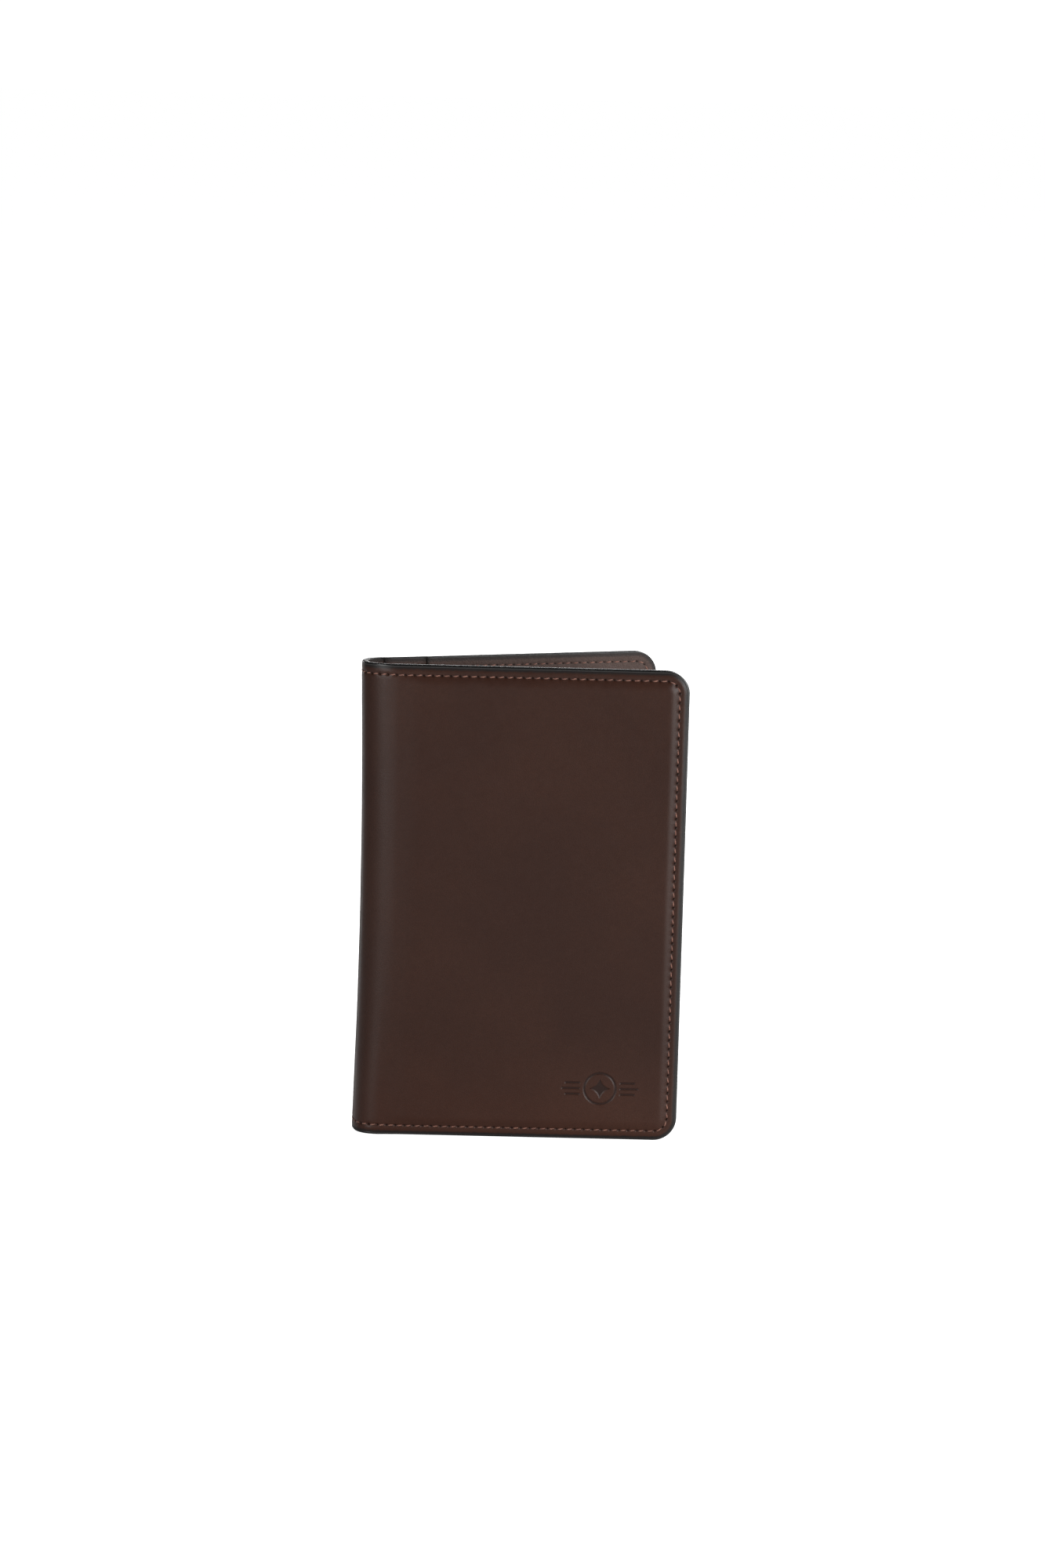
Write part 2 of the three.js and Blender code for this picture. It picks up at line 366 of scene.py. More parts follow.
def emblem(s, z):
    """A plain compass star in a ring between short bars: 1 where the front cover is pressed down."""
    x, y = s - (front.length - EMBLEM_FROM_FORE_EDGE), z - EMBLEM_HEIGHT
    ring_radius, ring_line, ring_slope = 4.6, 0.50, 0.38
    star_reach, star_pinch, star_slope = 3.7, 0.62, 0.16
    bar_line, bar_slope = 0.46, 0.36

    def bars(centre_x, centre_y, half_length):
        """Bars that mirror each other left and right, and above and below."""
        past_end = np.abs(np.abs(x) - centre_x) - half_length
        off_line = np.abs(np.abs(y) - centre_y)
        return smooth((bar_line - np.maximum(past_end, off_line)) / bar_slope)

    ring = smooth((ring_line - np.abs(np.hypot(x, y) - ring_radius)) / ring_slope)
    point_x = (np.abs(x) / star_reach) ** star_pinch
    point_y = (np.abs(y) / star_reach) ** star_pinch
    star = smooth((1 - point_x - point_y) / star_slope)
    return np.maximum.reduce([ring, star, bars(8.6, 0, 2.4), bars(8.1, 1.7, 1.9)])


def ripple(s, z):
    """The slow unevenness of real leather over foam."""
    return (
        0.030 * np.sin(s / 9.1 + 0.7 * np.sin(z / 17.0))
        + 0.026 * np.sin(z / 11.3 + 0.9 * np.sin(s / 13.0) + 1.1)
        + 0.012 * np.sin((s + z) / 4.3 + 2.0)
    )


def edge_fall(half, s, inset):
    """The outer leather is skived and rounded down towards its painted edge, least on the spine."""
    fall = SPINE_EDGE_FALL + COVER_EDGE_FALL * smooth(half.u_at(s) / EDGE_FALL_RUN)
    return fall * (1 - smooth((inset - EDGE_FALL_START) / EDGE_FALL_WIDTH))


def leather_face(half, s, z):
    """Depth of the outer face without its stitching: a soft crown that falls to the edge."""
    inset = half.inset(s, z)
    crown = CROWN * smooth((inset - CROWN_START) / CROWN_RUN)
    crown = crown * smooth((half.u_at(s) - CROWN_U) / CROWN_U_RUN)
    return edge_fall(half, s, inset) - crown


def outer_depth(half, s, z):
    """Depth of the outer face, with the pull of the thread, ripples and the pressed emblem."""
    seam = seams[half.side]
    valley = VALLEY_DEPTH * seam.pull(s, z) + HOLE_DEPTH * seam.holes(s, z)
    uneven = ripple(s, z) * smooth(half.inset(s, z) / RIPPLE_START)
    depth = leather_face(half, s, z) + valley - uneven
    if half.side == FRONT:
        depth = depth + EMBLEM_DEPTH * emblem(s, z)
    return depth


def step_at(value, place, width=1.0):
    """A smooth step from 0 to 1, centred on the place."""
    return smooth((value - place) / width + 0.5)


def lining_depth(half, s, z):
    """Depth of the lining's visible face."""
    on_cover = smooth((half.u_at(s) - COVER_STACK_U) / COVER_STACK_RUN)
    return SPINE_STACK + (COVER_STACK - SPINE_STACK) * on_cover


def stack_depth(half, s, z):
    """Depth of the innermost face of all the sewn layers."""
    u = half.u_at(s)
    depth = lining_depth(half, s, z) + PANEL_PITCH * step_at(u, WIDE_POCKET_U)
    if half.side == BACK:
        return depth + PANEL_PITCH * step_at(u, SLEEVE_U)
    for start_u, mouth in zip(CARD_STARTS, CARD_MOUTHS):
        depth = depth + PANEL_PITCH * step_at(u, start_u) * step_at(mouth - z, 0)
    return depth


# ---------------------------------------------------------------- mesh tools


def grid_faces(ids):
    """Faces between the rows of a grid of vertex numbers."""
    a, b, c, d = ids[:-1, :-1], ids[:-1, 1:], ids[1:, 1:], ids[1:, :-1]
    return np.stack([a, b, c, d], axis=-1).reshape(-1, 4).tolist()


def tube_faces(ids):
    """Faces of a closed tube, between its rings of vertex numbers and over both ends."""
    around = np.concatenate([ids, ids[:, :1]], axis=1)
    return grid_faces(around) + [ids[0].tolist(), ids[-1].tolist()]


class Sheet:
    """Collects vertices on the unrolled leather and the faces between them."""

    def __init__(self):
        self.s, self.z, self.depth, self.faces, self.count = [], [], [], [], 0

    def add(self, s, z, depth):
        """Adds vertices and returns their numbers in the arrays' own shape."""
        s, z, depth = np.broadcast_arrays(*(np.asarray(v, float) for v in (s, z, depth)))
        ids = np.arange(self.count, self.count + s.size).reshape(s.shape)
        self.count += s.size
        for store, values in ((self.s, s), (self.z, z), (self.depth, depth)):
            store.append(values.ravel())
        return ids

    def quads(self, ids):
        self.faces += grid_faces(ids)

    def zip_rows(self, first, first_t, second, second_t):
        """Triangles between two rows of vertices that run side by side."""
        i = j = 0
        while i < len(first) - 1 or j < len(second) - 1:
            take_first = j == len(second) - 1 or (
                i < len(first) - 1 and first_t[i + 1] <= second_t[j + 1]
            )
            if take_first:
                self.faces.append([int(first[i]), int(first[i + 1]), int(second[j])])
                i += 1
            else:
                self.faces.append([int(first[i]), int(second[j + 1]), int(second[j])])
                j += 1

    def arrays(self):
        """All the vertices' s, z and depth."""
        return (np.concatenate(v) for v in (self.s, self.z, self.depth))


def finish_object(name, points, faces, sharp_deg=40):
    """A smooth-shaded object whose faces point out. Points are in metres."""
    mesh = bpy.data.meshes.new(name)
    mesh.from_pydata(points.tolist(), [], faces)
    edit = bmesh.new()
    edit.from_mesh(mesh)
    bmesh.ops.recalc_face_normals(edit, faces=edit.faces)
    edit.to_mesh(mesh)
    edit.free()
    mesh.shade_smooth()
    mesh.set_sharp_from_angle(angle=math.radians(sharp_deg))
    obj = bpy.data.objects.new(name, mesh)
    bpy.context.scene.collection.objects.link(obj)
    return obj


def add_uv(obj, s, z):
    """The unrolled leather's own coordinates, in metres, for grain that bends with it."""
    mesh = obj.data
    layer = mesh.uv_layers.new(name="unrolled")
    corner = np.zeros(len(mesh.loops), np.int32)
    mesh.loops.foreach_get("vertex_index", corner)
    uv = np.stack([s[corner], z[corner]], axis=1) * MM
    layer.data.foreach_set("uv", uv.astype(np.float32).ravel())


def add_attribute(obj, name, values):
    """A number at each vertex, which the material reads by its name."""
    layer = obj.data.attributes.new(name, "FLOAT", "POINT")
    layer.data.foreach_set("value", np.asarray(values, np.float32))


def spaced(start, end, step):
    """Even places from start to end, about a step apart."""
    return np.linspace(start, end, max(2, round(abs(end - start) / step) + 1))


class Outline:
    """A panel's outline on the unrolled leather: from start to the fore-edge, and up to top."""

    def __init__(self, half, start, top=None):
        self.half, self.start = half, start
        self.top = top  # None where the panel reaches the upper seam

    def corner_radius(self, inset):
        return max(CORNER_RADIUS - inset, SMALLEST_CORNER)

    def row(self, inset, step):
        """(s, z) along the sewn sides at that inset, from the upper free end to the lower one.
        Rows with the same step have the same number of points, whatever their inset."""
        r = self.corner_radius(inset)
        right, low, high = self.half.length - inset, inset, HEIGHT - inset
        nominal_end = self.half.length - CORNER_RADIUS
        nominal_top = HEIGHT - CORNER_RADIUS if self.top is None else self.top
        flat = np.linspace(self.start, right - r, round((nominal_end - self.start) / step) + 1)
        arc_steps = max(FEWEST_ARC_STEPS, round(CORNER_RADIUS * math.pi / 2 / step))
        angle = np.linspace(0, math.pi / 2, arc_steps + 1)[1:]
        side_top = high - r if self.top is None else self.top
        side = np.linspace(side_top, low + r, round((nominal_top - CORNER_RADIUS) / step) + 1)
        parts = []
        if self.top is None:
            parts.append((flat, np.full(len(flat), high)))
            parts.append((right - r + r * np.sin(angle), high - r + r * np.cos(angle)))
            side = side[1:]
        parts.append((np.full(len(side), right), side))
        parts.append((right - r + r * np.cos(angle), low + r - r * np.sin(angle)))
        parts.append((flat[::-1][1:], np.full(len(flat) - 1, low)))
        return tuple(np.concatenate(v) for v in zip(*parts))


def path_share(s, z):
    """How far along a row each vertex lies, from 0 to 1."""
    run = np.concatenate([[0], np.cumsum(np.hypot(np.diff(s), np.diff(z)))])
    return run / run[-1]


def grid_lines(start, end, step, fine_bands=()):
    """Places of grid lines, closer together inside each (low, high, step) band."""
    band_ends = {v for low, high, _ in fine_bands for v in (low, high) if start < v < end}
    marks = sorted({start, end} | band_ends)
    lines = [start]
    for low, high in zip(marks, marks[1:]):
        middle = (low + high) / 2
        fine_steps = [band[2] for band in fine_bands if band[0] <= middle <= band[1]]
        lines += list(spaced(low, high, min(fine_steps + [step]))[1:])
    return np.array(lines)


def add_face(sheet, outline, depth_at, density, bands_s=(), bands_z=()):
    """One face of a panel: fine rings along the seam, coarser ones inside them, then a grid.
    Returns the vertices of the outermost ring, of the free top and of the free start."""
    rings, fine_step, coarse_rings, coarse_step = density

    def family(insets, step):
        rows = [outline.row(inset, step) for inset in insets]
        s, z = (np.array(v) for v in zip(*rows))
        ids = sheet.add(s, z, depth_at(s, z))
        sheet.quads(ids)
        return ids, s, z

    fine, fine_s, fine_z = family(rings, fine_step)
    coarse, coarse_s, coarse_z = family(coarse_rings, coarse_step)
    share = path_share(fine_s[-1], fine_z[-1]), path_share(coarse_s[0], coarse_z[0])
    sheet.zip_rows(fine[-1], share[0], coarse[0], share[1])
    deep = coarse_rings[-1] + coarse_step
    top = HEIGHT - deep if outline.top is None else outline.top
    s_lines = grid_lines(outline.start, outline.half.length - deep, coarse_step, bands_s)
    z_lines = grid_lines(deep, top, coarse_step, bands_z)
    s, z = np.meshgrid(s_lines, z_lines[::-1])
    grid = sheet.add(s, z, depth_at(s, z))
    sheet.quads(grid)
    edge = [grid[:, -1], grid[-1, ::-1][1:]]
    if outline.top is None:
        edge.insert(0, grid[0, :-1])
    edge = np.concatenate(edge)
    flat_s, flat_z = s.ravel(), z.ravel()
    base = grid[0, 0]
    edge_share = path_share(flat_s[edge - base], flat_z[edge - base])
    sheet.zip_rows(coarse[-1], path_share(coarse_s[-1], coarse_z[-1]), edge, edge_share)
    upper_ends = [ring[0] for ring in (*fine, *coarse)]
    lower_ends = [ring[-1] for ring in (*fine, *coarse)][::-1]
    if outline.top is None:
        free_top = []
        free_start = upper_ends + list(grid[:, 0]) + lower_ends
    else:
        free_top = upper_ends + list(grid[0, ::-1])
        free_start = list(grid[:, 0]) + lower_ends
    return fine[0], np.array(free_top, int), np.array(free_start, int)


def close_between(sheet, first, second):
    """Wall between two rows of vertices."""
    all_s, all_z, _ = sheet.arrays()
    share = [path_share(all_s[row], all_z[row]) for row in (first, second)]
    sheet.zip_rows(first, share[0], second, share[1])


def make_panel(name, outline, seen_depth, hidden_depth, density, bands_s=(), bands_z=()):
    """A closed sheet of leather, board or foam between two faces."""
    sheet = Sheet()
    seen = add_face(sheet, outline, seen_depth, density, bands_s, bands_z)
    hidden = add_face(sheet, outline, hidden_depth, HIDDEN_FACE)
    for first, second in zip(seen, hidden):
        if len(first):
            close_between(sheet, first, second)
    s, z, depth = sheet.arrays()
    obj = finish_object(name, outline.half.place(s, z, depth), sheet.faces)
    add_uv(obj, s, z)
    return obj, s, z


# ---------------------------------------------------------------- materials


def srgb(r, g, b):
    """Linear colour of an 8-bit sRGB one."""
    channels = [v / 255 for v in (r, g, b)]
    return tuple(c / 12.92 if c <= 0.04045 else ((c + 0.055) / 1.055) ** 2.4 for c in channels) + (1.0,)


class Nodes:
    """A new material and short calls that add and link its nodes."""

    def __init__(self, name):
        self.material = bpy.data.materials.new(name)
        self.material.use_nodes = True
        self.tree = self.material.node_tree
        self.shader = self.tree.nodes["Principled BSDF"]

    def add(self, kind, inputs=None, **settings):
        node = self.tree.nodes.new(kind)
        for key, value in settings.items():
            setattr(node, key, value)
        for key, value in (inputs or {}).items():
            self.feed(node, key, value)
        return node

    def feed(self, node, key, value):
        if isinstance(value, bpy.types.NodeSocket):
            self.tree.links.new(value, node.inputs[key])
        else:
            node.inputs[key].default_value = value

    def unrolled(self):
        """The unrolled leather's coordinates."""
        return self.add("ShaderNodeUVMap", uv_map="unrolled").outputs["UV"]

    def noise(self, vector, scale, detail=4.0, roughness=0.55):
        values = {"Vector": vector, "Scale": scale, "Detail": detail, "Roughness": roughness}
        return self.add("ShaderNodeTexNoise", values).outputs["Fac"]

    def math(self, operation, a, b=0.0, c=0.0):
        return self.add("ShaderNodeMath", {0: a, 1: b, 2: c}, operation=operation).outputs[0]

    def ramp(self, value, low, high, to_low=0.0, to_high=1.0):
        inputs = {"Value": value, "From Min": low, "From Max": high, "To Min": to_low, "To Max": to_high}
        return self.add("ShaderNodeMapRange", inputs, interpolation_type="SMOOTHSTEP").outputs["Result"]

    def mix(self, factor, a, b, blend_type="MIX"):
        node = self.add("ShaderNodeMix", data_type="RGBA", blend_type=blend_type)
        self.feed(node, 0, factor)
        self.feed(node, 6, a)
        self.feed(node, 7, b)
        return node.outputs[2]

    def attribute(self, name):
        return self.add("ShaderNodeAttribute", attribute_name=name).outputs["Fac"]

    def bump(self, height, strength, distance, normal=None):
        inputs = {"Height": height, "Strength": strength, "Distance": distance}
        if normal is not None:
            inputs["Normal"] = normal
        return self.add("ShaderNodeBump", inputs).outputs["Normal"]

    def surface(self, **values):
        """Sets the shader's inputs, which are named with _ for each space."""
        for key, value in values.items():
            self.feed(self.shader, key.replace("_", " "), value)
        return self.material


def grain_height(n, vector, cell_scale):
    """Fine pebbled leather: rounded grains of uneven size with finer ones over them."""
    warp = n.noise(vector, cell_scale * 0.35, 2.0)
    shift = n.add("ShaderNodeVectorMath", {0: warp, "Scale": 0.5 / cell_scale}, operation="SCALE")
    moved = n.add("ShaderNodeVectorMath", {0: vector, 1: shift.outputs[0]}, operation="ADD")
    cells = n.add(
        "ShaderNodeTexVoronoi",
        {"Vector": moved.outputs[0], "Scale": cell_scale, "Smoothness": 0.7},
        voronoi_dimensions="2D",
        feature="SMOOTH_F1",
    ).outputs["Distance"]
    pebbles = n.ramp(cells, 0.1, 0.7, 1.0, 0.0)
    fine = n.noise(vector, cell_scale * 2.3, 3.0, 0.6)
    return n.math("MULTIPLY_ADD", pebbles, 0.65, n.math("MULTIPLY", fine, 0.35))


PRESSED_TINT = srgb(30, 20, 18)
FREE_EDGE_PAINT = srgb(33, 28, 27)
HOLE_SHADE = srgb(6, 3, 2)


def leather_material(name, base, light, dark, rim, roughness, grain, cell_scale):
    """Leather with mottled dye, painted shade in its needle holes and the grain's creases, painted edges, a
    fine grain, and painted bounce light that makes it lighter towards the edge it stands on.
    It reads the attributes that mark_hole_shade_and_finish stores."""
    n = Nodes(name)
    uv = n.unrolled()
    height = grain_height(n, uv, cell_scale)
    clouds = n.ramp(n.noise(uv, 21.0, 4.0), 0.34, 0.66)
    above_foot = n.add("ShaderNodeSeparateXYZ", {0: uv}).outputs["Y"]
    # painted light: the colour is made lighter near the edge it stands on, standing in for bounce light
    # from the floor
    foot_bounce_light = n.ramp(above_foot, 0.0, 0.036, 1.4, 1.0)  # lighter near the edge that it stands on
    mottle = n.ramp(n.noise(uv, 620.0, 5.0, 0.7), 0.30, 0.70)
    colour = n.mix(n.math("MULTIPLY", clouds, 0.65), base, light)
    colour = n.mix(n.math("MULTIPLY", mottle, 0.32), colour, dark)
    # painted shade: the grain's creases are darkened
    crease_shade = n.math("MULTIPLY", n.math("SUBTRACT", 1.0, height), 0.35)
    colour = n.mix(crease_shade, colour, dark)
    colour = n.add("ShaderNodeVectorMath", {0: colour, "Scale": foot_bounce_light}, operation="SCALE").outputs[0]
    inset = n.math("MULTIPLY_ADD", n.noise(uv, 700.0, 4.0), 0.9, n.attribute("rim"))
    colour = n.mix(n.ramp(inset, 1.35, 2.2, 1.0, 0.0), colour, rim)
    colour = n.mix(n.math("MULTIPLY", n.attribute("pressed"), 0.7), colour, PRESSED_TINT)
    colour = n.mix(n.attribute("free_edge"), colour, FREE_EDGE_PAINT)
    # painted shade inside the needle holes
    colour = n.mix(n.attribute("hole"), colour, HOLE_SHADE)
    rough = n.math("MULTIPLY_ADD", n.noise(uv, 240.0, 3.0), 0.16, roughness - 0.08)
    rough = n.math("MULTIPLY_ADD", n.attribute("hole"), 0.45, rough)
    normal = n.bump(height, grain, 0.00008)
    return n.surface(Base_Color=colour, Roughness=rough, Normal=normal, Specular_IOR_Level=0.24)


def thread_material():
    """Waxed thread: two twisted plies with fine fibres, and painted shade where each stitch's ends go into
    the holes, over more of its start than of its end.
    """
    n = Nodes("seam_thread")
    uv = n.unrolled()
    fibre = n.noise(uv, 5200.0, 4.0)
    patches = n.ramp(n.noise(uv, 420.0, 2.0), 0.35, 0.65)
    colour = n.mix(patches, srgb(132, 86, 70), srgb(104, 64, 52))
    colour = n.mix(n.ramp(fibre, 0.45, 0.75), colour, srgb(184, 138, 120))
    # painted shade on the stitch's ends
    colour = n.mix(n.attribute("end_shade"), colour, srgb(66, 38, 31))
    normal = n.bump(fibre, 0.6, 0.00005)
    return n.surface(Base_Color=colour, Roughness=0.6, Sheen_Weight=0.15, Normal=normal)


def edge_paint_material():
    """Black edge paint: glossy where it isn't rubbed, a little uneven, dusty in places."""
    n = Nodes("edge_paint")
    uv = n.unrolled()
    waves = n.noise(uv, 330.0, 3.0)
    dust = n.ramp(n.noise(uv, 1400.0, 4.0), 0.62, 0.78)
    colour = n.mix(n.attribute("matt"), srgb(14, 13, 13), srgb(25, 22, 21))
    colour = n.mix(n.math("MULTIPLY", dust, 0.25), colour, srgb(64, 58, 55))
    rough = n.math("MULTIPLY_ADD", waves, 0.16, 0.18)
    rough = n.math("MULTIPLY_ADD", n.attribute("matt"), 0.30, rough)
    normal = n.bump(waves, 0.15, 0.0002)
    n.surface(Base_Color=colour, Roughness=rough, Normal=normal)
    return n.surface(Coat_Weight=0.15, Coat_Roughness=0.2)


def board_material():
    """Bonded leather board: pressed fibres in grey and tan."""
    n = Nodes("bonded_board")
    uv = n.unrolled()
    fibres = n.noise(uv, 900.0, 6.0, 0.75)
    flecks = n.ramp(n.noise(uv, 2600.0, 3.0), 0.45, 0.6)
    colour = n.mix(fibres, srgb(122, 112, 100), srgb(160, 150, 136))
    colour = n.mix(n.math("MULTIPLY", flecks, 0.4), colour, srgb(92, 80, 68))
    return n.surface(Base_Color=colour, Roughness=0.9, Normal=n.bump(fibres, 0.5, 0.0001))


def foam_material():
    """Thin open-cell foam."""
    n = Nodes("padding_foam")
    uv = n.unrolled()
    cells = n.add("ShaderNodeTexVoronoi", {"Vector": uv, "Scale": 1900.0}).outputs["Distance"]
    colour = n.mix(n.ramp(cells, 0.1, 0.7), srgb(188, 184, 176), srgb(226, 223, 216))
    return n.surface(Base_Color=colour, Roughness=0.95, Normal=n.bump(cells, 0.8, 0.0002))


OUTER_LEATHER = leather_material(
    "outer_leather",
    base=srgb(51, 29, 21),
    light=srgb(61, 36, 26),
    dark=srgb(44, 24, 17),
    rim=srgb(31, 27, 26),
    roughness=0.39,
    grain=0.17,
    cell_scale=2500.0,
)
INNER_LEATHER = leather_material(
    "lining_leather",
    base=srgb(82, 65, 59),
    light=srgb(94, 76, 70),
    dark=srgb(56, 42, 38),
    rim=srgb(50, 43, 41),
    roughness=0.56,
    grain=0.85,
    cell_scale=2200.0,
)
POCKET_LEATHER = leather_material(
    "pocket_leather",
    base=srgb(82, 65, 59),
    light=srgb(92, 74, 68),
    dark=srgb(54, 40, 36),
    rim=srgb(50, 43, 41),
    roughness=0.56,
    grain=0.90,
    cell_scale=2200.0,
)
THREAD = thread_material()
EDGE_PAINT = edge_paint_material()
BOARD = board_material()
FOAM = foam_material()


# ---------------------------------------------------------------- pieces


def fold_with_cover(obj):
    """Bakes the piece's transform into its mesh."""
    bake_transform(obj)


def complete(obj, half, material, slot, *nodes):
    """Material, replaced CAD nodes and the baked transform. The slot is not used."""
    obj.data.materials.append(material)
    fold_with_cover(obj)
    if nodes:
        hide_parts(*nodes)
    return obj


def mark_hole_shade_and_finish(obj, half, s, z, pressed=0.0, free_edge=0.0):
    """Painted shade in the needle holes, the painted rim and free edges, and the pressed emblem, for the
    material.
    """
    # painted shade for the needle holes
    hole = seams[half.side].holes(s, z) * 1.7 - 0.35  # fully dark well inside its rim
    add_attribute(obj, "hole", np.clip(hole, 0, 1))
    add_attribute(obj, "rim", half.inset(s, z))
    add_attribute(obj, "pressed", np.broadcast_to(pressed, s.shape))
    add_attribute(obj, "free_edge", np.broadcast_to(free_edge, s.shape))


def make_outer_leather(half):
    """The outer sheet, with its crown, seam valley, needle holes and the front's emblem."""
    bands_s, bands_z = [OUTER_BEND_BAND], []
    if half.side == FRONT:
        middle = half.length - EMBLEM_FROM_FORE_EDGE
        bands_s.append((middle - EMBLEM_HALF_WIDTH, middle + EMBLEM_HALF_WIDTH, EMBLEM_GRID))
        low, high = EMBLEM_HEIGHT - EMBLEM_HALF_HEIGHT, EMBLEM_HEIGHT + EMBLEM_HALF_HEIGHT
        bands_z.append((low, high, EMBLEM_GRID))
    obj, s, z = make_panel(
        f"{half.name}_outer_leather",
        Outline(half, 0.0),
        lambda s, z: outer_depth(half, s, z),
        lambda s, z: outer_depth(half, s, z) + LEATHER,
        SEWN_FACE,
        bands_s,
        bands_z,
    )
    mark_hole_shade_and_finish(obj, half, s, z, pressed=emblem(s, z) if half.side == FRONT else 0.0)
    nodes = f"{half.name}_cover_leather", "spine_leather"
    return complete(obj, half, OUTER_LEATHER, "outer_leather", *nodes)


def make_lining(half):
    """The inner sheet that the pocket panels lie on."""
    obj, s, z = make_panel(
        f"{half.name}_lining_leather",
        Outline(half, 0.0),
        lambda s, z: lining_depth(half, s, z) - LINING_VALLEY_DEPTH * seams[half.side].pull(s, z),
        lambda s, z: lining_depth(half, s, z) - LINING,
        SEWN_FACE,
        [LINING_BEND_BAND],
    )
    mark_hole_shade_and_finish(obj, half, s, z)
    return complete(obj, half, INNER_LEATHER, "lining_leather", f"{half.name}_lining", "spine_lining")


def make_pocket(half, name, node, start_u, layer, mouth=None):
    """A pocket panel on the lining, from start_u to the fore-edge and up to its mouth, if it has one.
    Its free edge stands a little off what lies under it."""
    face_at = PANEL_PITCH * (layer + 1)
    seam = seams[half.side]

    def lift(s, z):
        near_edge = bump(half.u_at(s) - start_u, FREE_EDGE_LIFT_WIDTH)
        return FREE_EDGE_LIFT * near_edge * smooth(half.inset(s, z) / FREE_EDGE_LIFT_INSET)

    def seen(s, z):
        rounding = EDGE_ROUNDING * bump(half.u_at(s) - start_u, EDGE_ROUNDING_WIDTH)
        if mouth:
            rounding = rounding + EDGE_ROUNDING * bump(mouth - z, EDGE_ROUNDING_WIDTH)
        pull = PANEL_VALLEY_DEPTH * seam.pull(s, z) + PANEL_HOLE_DEPTH * seam.holes(s, z)
        return lining_depth(half, s, z) + face_at + lift(s, z) - rounding - pull

    def hidden(s, z):
        return lining_depth(half, s, z) + face_at - PANEL + lift(s, z)

    start = half.s_at(start_u)
    start_band = [(start, start + EDGE_BAND, EDGE_BAND_STEP)]
    mouth_band = [(mouth - EDGE_BAND, mouth, EDGE_BAND_STEP)] if mouth else []
    outline = Outline(half, start, mouth)
    obj, s, z = make_panel(name, outline, seen, hidden, SEWN_FACE, start_band, mouth_band)
    free_edge = bump(half.u_at(s) - start_u, START_PAINT_WIDTH)
    if mouth:
        free_edge = np.maximum(free_edge, bump(mouth - z, MOUTH_PAINT_WIDTH))
    mark_hole_shade_and_finish(obj, half, s, z, free_edge=free_edge)
    return complete(obj, half, POCKET_LEATHER, "pocket_leather", node)


def make_board(half):
    """The stiffener board behind the lining."""
    obj, _, _ = make_panel(
        f"{half.name}_bonded_board",
        Outline(half, half.s_at(BOARD_U)),
        lambda s, z: lining_depth(half, s, z) - LINING - GLUE,
        lambda s, z: lining_depth(half, s, z) - LINING - GLUE - BOARD_THICKNESS,
        PLAIN_FACE,
    )
    return complete(obj, half, BOARD, "board", f"{half.name}_stiffener_board")


def make_foam(half):
    """The pad under the leather: its upper face is the leather's crown, and its rim tapers away."""

    def floor(s, z):
        return lining_depth(half, s, z) - LINING - BOARD_THICKNESS - 2 * GLUE

    def top(s, z):
        return np.minimum(outer_depth(half, s, z) + LEATHER + FOAM_RIM, floor(s, z) - FOAM_RIM)

    outline = Outline(half, half.s_at(FOAM_U))
    obj, _, _ = make_panel(f"{half.name}_padding", outline, floor, top, PLAIN_FACE)
    return complete(obj, half, FOAM, "foam", f"{half.name}_foam_pad")


def make_spine_stiffener():
    """The narrow board in the spine, between the two bends. It follows the spine's waist."""
    half_width = SPINE_HALF - front.spine_run - SPINE_BOARD_GAP
    z = spaced(SPINE_BOARD_INSET, HEIGHT - SPINE_BOARD_INSET, SPINE_BOARD_STEP)
    outer = WAIST * np.sin(np.pi * z / HEIGHT) + SPINE_FACE_X + LEATHER + SPINE_BOARD_DEPTH
    inner = outer + SPINE_BOARD_THICKNESS
    y = np.full(len(z), half_width)
    corners = (outer, -y, z), (outer, y, z), (inner, y, z), (inner, -y, z)
    points = np.stack([np.stack(corner, axis=-1) for corner in corners], axis=1) * MM
    ids = np.arange(4 * len(z)).reshape(-1, 4)
    obj = finish_object("spine_bonded_board", points.reshape(-1, 3), tube_faces(ids))
    obj.data.materials.append(BOARD)
    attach(obj, "spine")
    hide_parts("spine_stiffener")
    return obj


def make_edge_paint(half):
    """The painted edge: a rounded black bead that laps onto both faces."""
    outline = Outline(half, 0.0)
    sheet = Sheet()
    rows, matt = [], []

    def add_row(inset, depth_at, dullness):
        s, z = outline.row(inset, BEAD_STEP)
        rows.append(sheet.add(s, z, depth_at(s, z)))
        matt.append(np.full(len(s), dullness))

    def outer_lap(offset):
        return lambda s, z: edge_fall(half, s, half.inset(s, z)) + offset

    def inner_lap(offset):
        return lambda s, z: stack_depth(half, s, z) + offset

    def dome(angle):
        rounded = math.copysign(abs(math.sin(angle)) ** BEAD_SQUARENESS, angle)

        def depth_at(s, z):
            outer = edge_fall(half, s, BEAD_HEIGHT) - BEAD_PROUD
            inner = stack_depth(half, s, z) + BEAD_PROUD
            return (outer + inner) / 2 - (inner - outer) / 2 * rounded

        return depth_at

    for inset, offset in OUTER_LAP:
        add_row(inset, outer_lap(offset), 1.0)
    for angle in np.linspace(math.pi / 2, -math.pi / 2, BEAD_STEPS):
        rubbed = RUBBED_INNER_EDGE[half.side] * smooth(-math.sin(angle) * 2 - 0.7)
        add_row(BEAD_HEIGHT * (1 - math.cos(angle)), dome(angle), rubbed)
    for inset, offset in INNER_LAP:
        add_row(inset, inner_lap(offset), 1.0)
    sheet.faces += tube_faces(np.array(rows).T)
    s, z, depth = sheet.arrays()
    obj = finish_object(f"{half.name}_edge_paint", half.place(s, z, depth), sheet.faces, sharp_deg=70)
    add_uv(obj, s + depth, z + depth)
    add_attribute(obj, "matt", np.concatenate(matt))
    return complete(obj, half, EDGE_PAINT, None)


